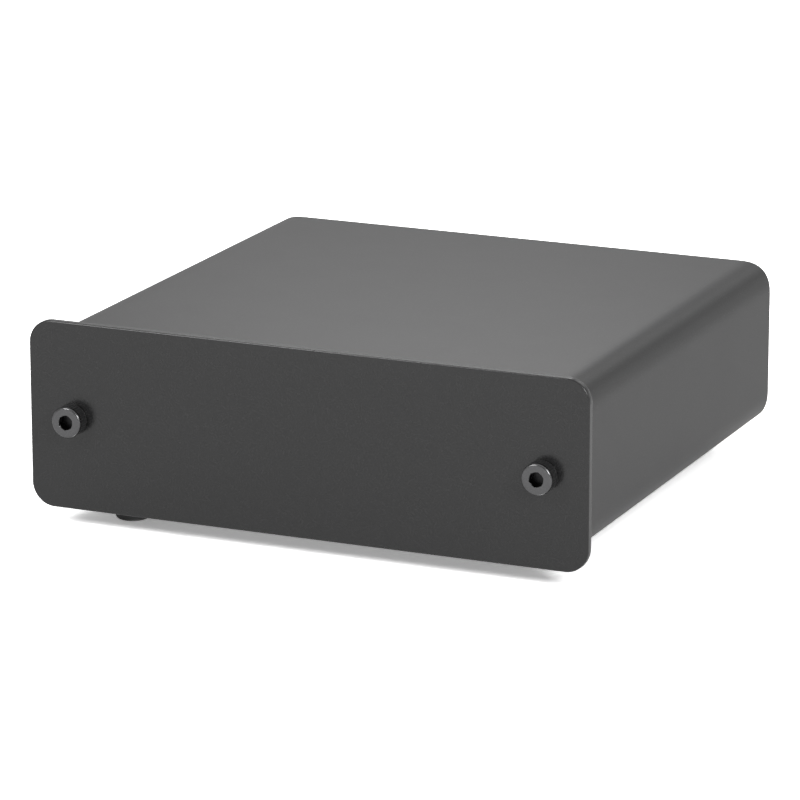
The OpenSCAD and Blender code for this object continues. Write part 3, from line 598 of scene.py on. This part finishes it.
piece = made("spring_contacts", together(contacts), brass, "plated_brass", "socket_contacts")
# The bores of the contacts get the painted shade below their bright mouths.
painted_shade_inside(piece, [Vector((x, contact_high.y - CONTACT_BRIGHT, socket_z)) for x in socket_xs],
         CONTACT_BORE_R + BORE_MARGIN, contact_low.y - contact_high.y)

mark_profile = eased([(SOCKET_HOLE_R, rear_high.y, 0), (MARK_R, rear_high.y, 0),
                      (MARK_R, root_end, MARK_EDGE), (SOCKET_HOLE_R, root_end, MARK_BORE_EDGE)])
for node, colour, slot_name in (("left_channel_rings", WHITE_COLOUR, "ring_white"),
                                ("right_channel_rings", RED_COLOUR, "ring_red")):
    channel = node.split("_")[0]
    marks = [turned(mark_profile, along_y(x, socket_z))
             for socket, x in zip(SOCKETS, socket_xs) if socket.startswith(channel)]
    moulded = grained(slot_name + "_moulding", colour, roughness=0.35, grain=0.2, relief=2.0,
                      shade=0.05)
    made(node.replace("rings", "marks"), together(marks), moulded, slot_name, node)


# ---- Socket housings ----
# Black mouldings with rounded edges that stand on the board behind the panel. Each one holds a
# pair of shells in its two bores.
MOULDING_COLOUR = (0.02, 0.02, 0.021)
HOUSING_EDGE, HOUSING_CORNER = 0.3, 0.6

black_moulding = grained("black_moulding", MOULDING_COLOUR, roughness=0.5, grain=0.25, relief=6.0,
                         shade=0.15)
for node in ("input_socket_housing", "output_socket_housing"):
    low, high = in_mm(node)
    centre = (low + high) / 2
    outlines = [oblong(centre.x, centre.z, high.x - low.x, high.z - low.z, HOUSING_CORNER)]
    housing = drawn(outlines, low.y, high.y, HOUSING_EDGE)
    for x in socket_xs:
        if low.x < x < high.x:
            bore = drawn([ring(x, socket_z, SOCKET_HOLE_R)], shell_start, high.y + CUT_PAST)
            housing = worked(housing, bore)
    made(node.replace("socket_housing", "jack_block"), housing, black_moulding, "moulding_black",
         node)


# ---- Power inlet ----
# A moulded body on the board whose round nose fills its hole in the rear panel. Its socket holds
# a tinned centre pin and, in a groove below it, the contact spring.
INLET_NOSE_R, INLET_NOSE_EDGE, INLET_NOSE_ROOT = 3.7, 0.15, 1.0
INLET_BORE_R, INLET_LIP = 2.9, 0.3
INLET_BODY_EDGE, INLET_BODY_CORNER = 0.3, 0.5
PIN_R, PIN_EDGE, PIN_POINT, PIN_CLEARANCE, PIN_STEPS = 1.05, 0.1, 0.4, 0.03, 48
SPRING_T, SPRING_EDGE = 0.4, 0.06
GROOVE_W = 2.06
TIN_COLOUR = (0.6, 0.6, 0.58)

inlet_low, inlet_high = in_mm("power_inlet_body")
pin_low, pin_high = in_mm("power_inlet_pin")
spring_low, spring_high = in_mm("power_inlet_spring")
tinned = grained("tinned_metal", TIN_COLOUR, roughness=0.3, grain=0.3, relief=1.0, shade=0.06,
                 metallic=1.0)
inlet = drawn([oblong(inlet_x, (inlet_low.z + inlet_high.z) / 2, inlet_high.x - inlet_low.x,
                      inlet_high.z - inlet_low.z, INLET_BODY_CORNER)],
              inlet_low.y, rear_low.y, INLET_BODY_EDGE)
nose_root = rear_low.y - INLET_NOSE_ROOT
nose = turned(eased([(0, nose_root, 0), (INLET_NOSE_R, nose_root, 0),
                     (INLET_NOSE_R, inlet_high.y, INLET_NOSE_EDGE), (0, inlet_high.y, 0)],
                    closed=False), along_y(inlet_x, inlet_z))
inlet = worked(inlet, nose, "UNION")
bore_end, mouth_end = spring_low.y, inlet_high.y + CUT_PAST
lip_r = INLET_BORE_R + INLET_LIP
mouth = turned([(0, bore_end), (INLET_BORE_R, bore_end), (INLET_BORE_R, inlet_high.y - INLET_LIP),
                (lip_r, inlet_high.y), (lip_r, mouth_end), (0, mouth_end)],
               along_y(inlet_x, inlet_z))
inlet = worked(inlet, mouth)
groove = drawn([oblong(inlet_x, (spring_low.z + inlet_z) / 2, GROOVE_W, inlet_z - spring_low.z)],
               spring_low.y, spring_high.y)
inlet = worked(inlet, groove)
pin_seat = drawn([ring(inlet_x, inlet_z, PIN_R + PIN_CLEARANCE)], pin_low.y, bore_end + CUT_PAST)
inlet = worked(inlet, pin_seat)
made("inlet_moulding", inlet, black_moulding, "moulding_black", "power_inlet_body")

pin = turned(eased([(0, pin_low.y, 0), (PIN_R, pin_low.y, PIN_EDGE),
                    (PIN_R, pin_high.y, PIN_POINT), (0, pin_high.y, 0)], closed=False),
             along_y(inlet_x, inlet_z), steps=PIN_STEPS)
made("inlet_pin", pin, tinned, "tinned_metal", "power_inlet_pin")

spring_mid = (spring_low + spring_high) / 2
spring = drawn([oblong(spring_mid.x, spring_low.z + SPRING_T / 2, spring_high.x - spring_low.x,
                       SPRING_T, SPRING_EDGE)], spring_low.y, spring_high.y, SPRING_EDGE)
bulge = turned([(0, spring_low.x), (SPRING_T, spring_low.x), (SPRING_T, spring_high.x),
                (0, spring_high.x)],
               Matrix.Translation((0, spring_mid.y, spring_low.z + SPRING_T))
               @ Matrix.Rotation(math.radians(90), 4, "Y"), steps=PIN_STEPS)
made("inlet_spring", worked(spring, bulge, "UNION"), tinned, "tinned_metal", "power_inlet_spring")


# ---- Ground terminal ----
# A brass stud with a head inside the panel, a soldering lug and a link wire down to the board, and
# a hexagonal nut outside. A washer hangs on the neck of the knurled thumb nut, which moves it.
STUD_R, STUD_TIP_ROUND, STUD_STEPS = 2.0, 0.35, 72
STUD_HEAD_R, STUD_HEAD_H, STUD_HEAD_EDGE, STUD_HEAD_RIM = 3.6, 2.4, 0.3, 0.1
THREAD_PITCH, THREAD_DEEP, THREAD_SHARP, THREAD_STEPS = 0.7, 0.36, 2.4, 10
THREAD_START, THREAD_RUN_OUT = 0.2, 0.5
LUG_R, LUG_HOLE_R, LUG_EDGE, LUG_STEPS = 3.9, 2.15, 0.06, 48
LUG_TAIL, LUG_TAIL_CORNER = 1.5, 0.6
NUT_BORE_R, NUT_FLATS, NUT_CHAMFER, NUT_CORNER_PAST = 2.05, 7.0, 0.32, 0.05
WASHER_R, WASHER_EDGE, WASHER_BORE_R, WASHER_BORE_EDGE = 4.5, 0.2, 2.76, 0.1
NECK_R, LIP_R, LIP_T, LIP_EDGE = 2.7, 3.35, 0.4, 0.1
THUMB_R, THUMB_EDGE, THUMB_FACE_EDGE, THUMB_BORE_CHAMFER = 4.75, 0.4, 0.1, 0.3
THUMB_CLEARANCE = 0.05
THUMB_KNURLS, THUMB_KNURL_R, THUMB_KNURL_STEPS = 24, 0.3, 12

stud_low, stud_high = in_mm("ground_stud")
lug_low, lug_high = in_mm("ground_lug")
hex_low, hex_high = in_mm("ground_hex_nut")
washer_low, washer_high = in_mm("ground_washer")
thumb_low, thumb_high = in_mm("ground_thumb_nut")


def threaded(radius, turn, height):
    """The groove of a screw thread, which runs once round in each pitch."""
    if radius < STUD_R - SAME_RADIUS or height < lug_low.y + THREAD_START:
        return radius
    phase = (height / THREAD_PITCH + turn / math.tau) % 1.0
    fade = min(1.0, (stud_high.y - height) / THREAD_RUN_OUT)
    return radius - THREAD_DEEP * fade * max(0.0, 1 - abs(phase - 0.5) * THREAD_SHARP)


def thumb_knurled(radius, turn, height):
    """Round grooves along the grip of the thumb nut."""
    if radius < THUMB_R - SAME_RADIUS:
        return radius
    across = abs((turn / math.tau * THUMB_KNURLS + 0.5) % 1.0 - 0.5) * math.tau / THUMB_KNURLS
    reach = across * THUMB_R
    return radius - math.sqrt(max(0.0, THUMB_KNURL_R ** 2 - reach ** 2))


head_end = stud_low.y + STUD_HEAD_H
stud_profile = eased([(0, stud_low.y, 0), (STUD_HEAD_R, stud_low.y, STUD_HEAD_EDGE),
                      (STUD_HEAD_R, head_end, STUD_HEAD_RIM), (STUD_R, head_end, 0),
                      (STUD_R, stud_high.y, STUD_TIP_ROUND), (0, stud_high.y, 0)], closed=False)
stud = turned(filled_in(stud_profile, step=THREAD_PITCH / THREAD_STEPS),
              along_y(ground_x, socket_z), steps=STUD_STEPS, shape=threaded)
made("threaded_stud", stud, brass, "plated_brass", "ground_stud")

tail_turn = math.acos(LUG_TAIL / LUG_R)
eye_sweep = math.pi + 2 * tail_turn
eye_turns = [eye_sweep * k / LUG_STEPS - tail_turn for k in range(LUG_STEPS + 1)]
lug_rim = [Vector((ground_x + LUG_R * math.cos(turn), socket_z + LUG_R * math.sin(turn)))
           for turn in eye_turns]
lug_rim += eased([(ground_x - LUG_TAIL, socket_z, 0),
                  (ground_x - LUG_TAIL, lug_low.z, LUG_TAIL_CORNER),
                  (ground_x + LUG_TAIL, lug_low.z, LUG_TAIL_CORNER),
                  (ground_x + LUG_TAIL, socket_z, 0)], closed=False)[1:-1]
lug = drawn([lug_rim, ring(ground_x, socket_z, LUG_HOLE_R)], lug_low.y, lug_high.y, LUG_EDGE)
made("soldering_lug", lug, tinned, "tinned_metal", "ground_lug")

hexagon = hexagon_tool(ground_x, socket_z, NUT_FLATS, hex_low.y, hex_high.y)
past_corner = corner_r(NUT_FLATS) + NUT_CORNER_PAST
chamfered = turned([(0, hex_low.y), (NUT_FLATS / 2, hex_low.y),
                    (past_corner, hex_low.y + NUT_CHAMFER), (past_corner, hex_high.y - NUT_CHAMFER),
                    (NUT_FLATS / 2, hex_high.y), (0, hex_high.y)], along_y(ground_x, socket_z))
hex_nut = worked(hexagon, chamfered, "INTERSECT")
nut_bore = drawn([ring(ground_x, socket_z, NUT_BORE_R)],
                 hex_low.y - CUT_PAST, hex_high.y + CUT_PAST)
made("hexagon_nut", worked(hex_nut, nut_bore), brass, "plated_brass", "ground_hex_nut")

washer = turned(eased([(WASHER_BORE_R, washer_low.y, WASHER_BORE_EDGE),
                       (WASHER_R, washer_low.y, WASHER_EDGE),
                       (WASHER_R, washer_high.y, WASHER_EDGE),
                       (WASHER_BORE_R, washer_high.y, WASHER_BORE_EDGE)]),
                along_y(ground_x, socket_z))
made("clamping_washer", washer, brass, "plated_brass", "ground_washer", body="clamp_washer")

grip_low = washer_high.y + THUMB_CLEARANCE
lip_end = thumb_low.y + LIP_T
thumb_profile = eased([(NUT_BORE_R, thumb_low.y, 0), (LIP_R, thumb_low.y, LIP_EDGE),
                       (LIP_R, lip_end, LIP_EDGE), (NECK_R, lip_end, 0), (NECK_R, grip_low, 0),
                       (THUMB_R - THUMB_EDGE, grip_low, 0), (THUMB_R, grip_low + THUMB_EDGE, 0),
                       (THUMB_R, thumb_high.y - THUMB_EDGE, 0),
                       (THUMB_R - THUMB_EDGE, thumb_high.y, THUMB_FACE_EDGE),
                       (NUT_BORE_R + THUMB_BORE_CHAMFER, thumb_high.y, 0),
                       (NUT_BORE_R, thumb_high.y - THUMB_BORE_CHAMFER, 0)])
thumb = turned(thumb_profile, along_y(ground_x, socket_z),
               steps=THUMB_KNURLS * THUMB_KNURL_STEPS, shape=thumb_knurled)
made("knurled_thumb_nut", thumb, brass, "plated_brass", "ground_thumb_nut", body="thumb_nut")


# ---- Gain switches ----
# Two slide switches with tinned shells under the board. Each has a moulded white slider, whose
# fluted finger piece stands in a slot of the sleeve's floor.
SLIDER_COLOUR = (0.78, 0.78, 0.75)
PLATE_T, SLIDER_EDGE = 0.8, 0.1
FINGER_W, FINGER_HALF = 2.0, 0.8
FLUTES, FLUTE_DEEP, FLUTE_DRAFT = 3, 0.25, 0.08
FLUTE_START, FLUTE_SHARE = 0.3, 0.4
SWITCH_EDGE = 0.1
WELD_WITHIN, EASING_STEPS, EASED_OVER = 0.002, 2, math.radians(40)


def dressed(node, finish, edge):
    """A carried-over part: its edges are broken, and it gets its finish."""
    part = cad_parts[node]
    weld = part.modifiers.new("weld", "WELD")
    weld.merge_threshold = WELD_WITHIN * MM
    if edge:
        easing = part.modifiers.new("easing", "BEVEL")
        easing.width, easing.segments = edge * MM, EASING_STEPS
        easing.limit_method, easing.angle_limit = "ANGLE", EASED_OVER
        easing.harden_normals = True
    part.data.materials.clear()
    part.data.materials.append(finish)


slider_white = grained("slider_moulding", SLIDER_COLOUR, roughness=0.4, grain=0.2, relief=2.0,
                       shade=0.04)
flute_pitch = FINGER_W / FLUTES
for node, body in (("left_gain_slider", "left_slider"), ("right_gain_slider", "right_slider")):
    low, high = in_mm(node)
    centre = (low + high) / 2
    plate_mid = high.z - PLATE_T / 2
    plate = drawn([oblong(centre.x, plate_mid, high.x - low.x, PLATE_T, SLIDER_EDGE)],
                  low.y, high.y, SLIDER_EDGE)
    finger_left, finger_right = centre.x - FINGER_W / 2, centre.x + FINGER_W / 2
    rim = [(finger_left, plate_mid), (finger_left, low.z)]
    for k in range(FLUTES):
        left = finger_left + (k + FLUTE_START) * flute_pitch
        right = left + FLUTE_SHARE * flute_pitch
        rim += [(left, low.z), (left + FLUTE_DRAFT, low.z + FLUTE_DEEP),
                (right - FLUTE_DRAFT, low.z + FLUTE_DEEP), (right, low.z)]
    rim += [(finger_right, low.z), (finger_right, plate_mid)]
    finger = drawn([rim], centre.y - FINGER_HALF, centre.y + FINGER_HALF)
    made(node.replace("gain_slider", "finger_slider"), worked(plate, finger, "UNION"),
         slider_white, "slider_white", node, body=body)

for node in ("left_gain_switch", "right_gain_switch"):
    dressed(node, tinned, SWITCH_EDGE)


# ---- Circuit board ----
# Glass-fibre laminate under a green lacquer, through which the copper shows as slightly lighter
# fields. It slides into the guides of the sleeve.
BOARD_COLOUR, COPPER_FIELD_COLOUR = (0.012, 0.1, 0.035), (0.025, 0.17, 0.06)
FIELD, COPPER_WITHIN, BOARD_EDGE = 4.0, 0.45, 0.1

lacquer = grained("green_lacquer", BOARD_COLOUR, roughness=0.3, grain=0.4, relief=3.0)
nodes, links = lacquer.node_tree.nodes, lacquer.node_tree.links
cells = nodes.new("ShaderNodeTexVoronoi")
cells.distance = "CHEBYCHEV"
cells.inputs["Scale"].default_value = 1 / (FIELD * MM)
where = next(node for node in nodes if node.type == "TEX_COORD")
links.new(where.outputs["Object"], cells.inputs["Vector"])
fields = nodes.new("ShaderNodeValToRGB")
fields.color_ramp.interpolation = "CONSTANT"
fields.color_ramp.elements[0].color = (*COPPER_FIELD_COLOUR, 1.0)
fields.color_ramp.elements[1].position = COPPER_WITHIN
fields.color_ramp.elements[1].color = (*BOARD_COLOUR, 1.0)
links.new(cells.outputs["Distance"], fields.inputs["Fac"])
links.new(fields.outputs["Color"], nodes["Principled BSDF"].inputs["Base Color"])
dressed("circuit_board", lacquer, BOARD_EDGE)


# ---- Parts on the board ----
# Amplifiers, transistors and regulators in black packages, upright capacitors in sleeves, film
# capacitors of the equaliser, and resistors and diodes lying on their bent wires, all soldered
# in. The ground's link wire has a green jacket.
PACKAGE_COLOUR, PACKAGE_EDGE, FILM_EDGE = (0.022, 0.022, 0.023), 0.1, 0.15
# Each jacketed node, its colour, its slot and the radius of its edges.
JACKETED = (("smoothing_capacitors", (0.02, 0.04, 0.16), "capacitor_blue", 0.0),
            ("coupling_capacitors", (0.03, 0.03, 0.035), "capacitor_black", 0.0),
            ("film_capacitors", (0.42, 0.04, 0.03), "capacitor_red", FILM_EDGE),
            ("resistors", (0.16, 0.36, 0.5), "resistor_blue", 0.0),
            ("ground_wire", (0.03, 0.24, 0.06), "wire_green", 0.0))

package = grained("black_package", PACKAGE_COLOUR, roughness=0.48, grain=0.2, relief=4.0)
for node in ("op_amps", "transistors", "voltage_regulators", "diodes"):
    dressed(node, package, PACKAGE_EDGE)
for node, colour, slot_name, edge in JACKETED:
    jacket = grained(slot_name + "_jacket", colour, roughness=0.3, grain=0.3, relief=2.0)
    dressed(node, jacket, edge)


# ---- Studio ----
# A wide white table under a pale backdrop. Soft square lamps stand left and right in front, two
# more behind draw the sheen on the top, and one below the table lights the underside.
TABLE_SIZE = 6.0
# The table's white and its glow, as a light, in reflections and as seen by the camera.
TABLE_LIGHT, TABLE_REFLECTED, TABLE_SEEN = (0.75, 0.0), (1.0, 0.2), (2.4, 0.24)
# The backdrop's brightness by height in degrees, as a light and as seen or reflected.
BACKDROP_LIGHT = ((-90, 0.0), (-1, 0.0), (0, 0.5), (8, 0.3), (20, 0.2), (45, 0.2), (65, 0.6),
                  (90, 0.9))
BACKDROP_SEEN = ((-90, 1.0), (7, 1.0), (11, 0.55), (50, 0.55), (60, 1.0), (90, 1.0))
MIX_FIRST, MIX_SECOND, MIX_RESULT = 6, 7, 2
# Each lamp's name, turn from the front and rise in degrees, distance and size in metres, and power.
LAMPS = (("left_lamp", -30, 33, 0.5, 0.15, 0.8), ("right_lamp", 50, 28, 0.5, 0.15, 1.3),
         ("back_left_lamp", -157, 44, 0.38, 0.16, 0.24),
         ("back_right_lamp", 160, 38, 0.38, 0.16, 0.07),
         ("under_lamp", 0, -89, 0.5, 0.15, 1.2))


def ray_kinds(nodes, links):
    """Three sockets: 1 for camera rays, for camera, glossy and transmission rays, and for shadow
    rays."""
    rays = nodes.new("ShaderNodeLightPath")
    sums = [nodes.new("ShaderNodeMath") for _ in range(2)]
    links.new(rays.outputs["Is Camera Ray"], sums[0].inputs[0])
    links.new(rays.outputs["Is Glossy Ray"], sums[0].inputs[1])
    links.new(sums[0].outputs["Value"], sums[1].inputs[0])
    links.new(rays.outputs["Is Transmission Ray"], sums[1].inputs[1])
    sums[1].use_clamp = True
    return (rays.outputs["Is Camera Ray"], sums[1].outputs["Value"],
            rays.outputs["Is Shadow Ray"])


def either(nodes, links, factor, no, yes):
    """The shader no where the factor is 0 and the shader yes where it is 1."""
    mix = nodes.new("ShaderNodeMixShader")
    for socket, end in zip(mix.inputs, (factor, no, yes)):
        links.new(end, socket)
    return mix.outputs["Shader"]


def pale(nodes, links, colour, glow):
    """A dull white that also glows a little."""
    dull, lit = nodes.new("ShaderNodeBsdfDiffuse"), nodes.new("ShaderNodeEmission")
    dull.inputs["Color"].default_value = (colour, colour, colour, 1.0)
    lit.inputs["Strength"].default_value = glow
    both = nodes.new("ShaderNodeAddShader")
    links.new(dull.outputs["BSDF"], both.inputs[0])
    links.new(lit.outputs["Emission"], both.inputs[1])
    return both.outputs["Shader"]


table_mesh = bpy.data.meshes.new("table_top")
table = bmesh.new()
bmesh.ops.create_grid(table, x_segments=1, y_segments=1, size=TABLE_SIZE / 2)
table.to_mesh(table_mesh)
table.free()
table_top = bpy.data.objects.new("table_top", table_mesh)
bpy.context.scene.collection.objects.link(table_top)
white = bpy.data.materials.new("table_white")
white.use_nodes = True
nodes, links = white.node_tree.nodes, white.node_tree.links
nodes.remove(nodes["Principled BSDF"])
camera_rays, seeing_rays, shadow_rays = ray_kinds(nodes, links)
reflected = either(nodes, links, seeing_rays, pale(nodes, links, *TABLE_LIGHT),
                   pale(nodes, links, *TABLE_REFLECTED))
shown = either(nodes, links, camera_rays, reflected, pale(nodes, links, *TABLE_SEEN))
below = nodes.new("ShaderNodeMath")
below.operation = "MAXIMUM"
links.new(nodes.new("ShaderNodeNewGeometry").outputs["Backfacing"], below.inputs[0])
links.new(shadow_rays, below.inputs[1])
clear = nodes.new("ShaderNodeBsdfTransparent").outputs["BSDF"]
links.new(either(nodes, links, below.outputs["Value"], shown, clear),
          nodes["Material Output"].inputs["Surface"])
table_mesh.materials.append(white)

world = bpy.data.worlds.new("backdrop")
world.use_nodes = True
bpy.context.scene.world = world
nodes, links = world.node_tree.nodes, world.node_tree.links
place = nodes.new("ShaderNodeTexCoord")
parts = nodes.new("ShaderNodeSeparateXYZ")
links.new(place.outputs["Generated"], parts.inputs["Vector"])
rise = nodes.new("ShaderNodeMath")
rise.operation = "ARCSINE"
links.new(parts.outputs["Z"], rise.inputs[0])
height = nodes.new("ShaderNodeMapRange")
height.inputs["From Min"].default_value = -math.pi / 2
height.inputs["From Max"].default_value = math.pi / 2
links.new(rise.outputs["Value"], height.inputs["Value"])
backdrop = nodes.new("ShaderNodeMix")
backdrop.data_type = "RGBA"
links.new(ray_kinds(nodes, links)[1], backdrop.inputs["Factor"])
for socket, stops in ((MIX_FIRST, BACKDROP_LIGHT), (MIX_SECOND, BACKDROP_SEEN)):
    bands = nodes.new("ShaderNodeValToRGB")
    while len(bands.color_ramp.elements) < len(stops):
        bands.color_ramp.elements.new(0.5)
    for stop, (angle, value) in zip(bands.color_ramp.elements, stops):
        stop.position = (angle + 90) / 180
        stop.color = (value, value, value, 1.0)
    links.new(height.outputs["Result"], bands.inputs["Fac"])
    links.new(bands.outputs["Color"], backdrop.inputs[socket])
links.new(backdrop.outputs[MIX_RESULT], nodes["Background"].inputs["Color"])

for name, turn, rise, away, size, power in LAMPS:
    turn, rise = math.radians(turn), math.radians(rise)
    towards = Vector((math.sin(turn) * math.cos(rise), -math.cos(turn) * math.cos(rise),
                      math.sin(rise)))
    lamp = bpy.data.objects.new(name, bpy.data.lights.new(name, "AREA"))
    lamp.data.shape, lamp.data.size, lamp.data.energy = "SQUARE", size, power
    lamp.location = towards * away
    lamp.rotation_euler = towards.to_track_quat("Z", "Y").to_euler()
    lamp.visible_camera = False
    bpy.context.scene.collection.objects.link(lamp)

bpy.context.scene.view_settings.view_transform = "Standard"
